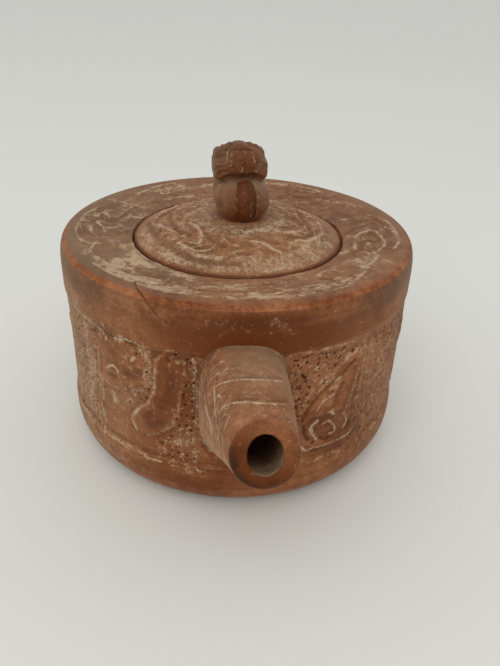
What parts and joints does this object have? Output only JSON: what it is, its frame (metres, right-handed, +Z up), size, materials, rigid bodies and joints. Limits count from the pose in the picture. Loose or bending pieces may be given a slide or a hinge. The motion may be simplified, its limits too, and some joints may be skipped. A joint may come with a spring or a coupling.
{
  "type": "clay teapot",
  "caption": "Squat drum-shaped unglazed clay teapot with a short tapered spout, an ear handle and a loose flush lid carrying a seated lion knob.",
  "frame": {"origin": "centre of the flat base, on the surface that the pot stands on", "axes": "+Z up along the lid's axis, spout along -Y, handle along +Y, +X to the right of a viewer who faces the spout's side looking along +Y"},
  "size_m": [0.1, 0.1675, 0.0876],
  "materials": {
    "body_clay": "unglazed red-brown stoneware, matt to satin, carved and punched, pale slip left in the cuts",
    "spout_clay": "unglazed stoneware, rubbed lighter, incised lines",
    "handle_clay": "unglazed stoneware, smoothed by hand",
    "lid_clay": "unglazed stoneware, carved, pale slip rubbed into the cuts",
    "knob_clay": "unglazed stoneware, darker and slightly polished by handling",
    "inside_clay": "unglazed stoneware, left as turned"
  },
  "bodies": {
    "pot": {"base_dish": "body_clay", "side_wall": "body_clay", "shoulder": "body_clay", "lid_seat": "inside_clay", "spout": "spout_clay", "handle": "handle_clay"},
    "lid_skirt": {"lid_flange": "inside_clay"},
    "lid": {"lid_plate": "lid_clay", "knob_body": "knob_clay", "knob_head": "knob_clay", "knob_tail": "knob_clay", "knob_mane_lock": "knob_clay", "knob_foreleg_left": "knob_clay", "knob_foreleg_right": "knob_clay", "knob_ear_left": "knob_clay", "knob_ear_right": "knob_clay", "knob_curl_left_1": "knob_clay", "knob_curl_left_2": "knob_clay", "knob_curl_left_3": "knob_clay", "knob_curl_right_1": "knob_clay", "knob_curl_right_2": "knob_clay", "knob_curl_right_3": "knob_clay"}
  },
  "joints": [
    {"name": "lid_lift", "type": "slide", "parent": "pot", "child": "lid_skirt", "axis": [0, 0, 1], "range_m": [0, 0.05]},
    {"name": "lid_turn", "type": "hinge", "parent": "lid_skirt", "child": "lid", "pos_m": [0, 0, 0.0587], "axis": [0, 0, 1], "continuous": true}
  ]
}
